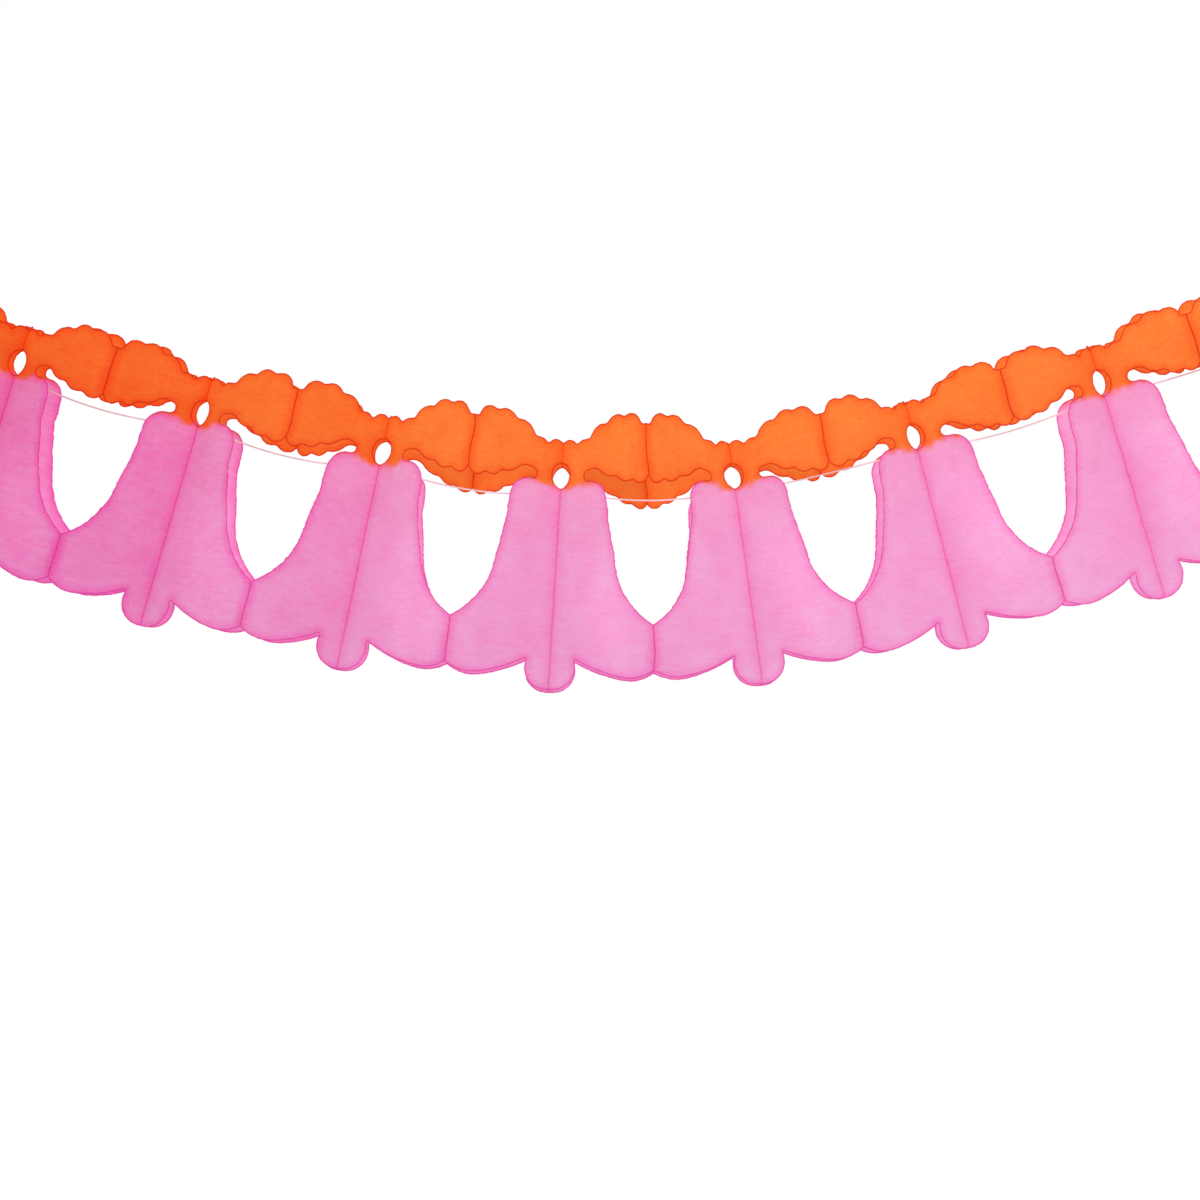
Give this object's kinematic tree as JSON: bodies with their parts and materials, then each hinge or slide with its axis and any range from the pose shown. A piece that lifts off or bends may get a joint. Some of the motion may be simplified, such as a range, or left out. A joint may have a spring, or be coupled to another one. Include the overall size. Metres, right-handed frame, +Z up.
{
  "type": "paper bell garland",
  "caption": "Hanging garland of folded tissue bells: die-cut sheets glued into an open honeycomb row on a thread with a loop at each end.",
  "frame": {"origin": "middle of the left hanging loop", "axes": "+X along the row of bells to the right hanging loop, +Y from the front of the bells to the back, +Z up"},
  "size_m": [1.0022, 0.1476, 0.2714],
  "materials": {
    "tissue": "thin translucent dyed tissue, orange upper flap running softly into a pink bell",
    "end_card": "matt dyed card",
    "thread": "white twisted thread"
  },
  "bodies": {
    "root": {"cell_1_left_sheet": "tissue", "cell_1_right_sheet": "tissue", "cell_2_left_sheet": "tissue", "cell_2_right_sheet": "tissue", "cell_3_left_sheet": "tissue", "cell_3_right_sheet": "tissue", "cell_4_left_sheet": "tissue", "cell_4_right_sheet": "tissue", "cell_5_left_sheet": "tissue", "cell_5_right_sheet": "tissue", "cell_6_left_sheet": "tissue", "cell_6_right_sheet": "tissue", "cell_7_left_sheet": "tissue", "cell_7_right_sheet": "tissue", "cell_8_left_sheet": "tissue", "cell_8_right_sheet": "tissue", "left_end_card": "end_card", "right_end_card": "end_card", "thread": "thread", "left_loop_whipping": "thread", "left_stop_knot": "thread", "right_loop_whipping": "thread", "right_stop_knot": "thread"}
  },
  "joints": []
}
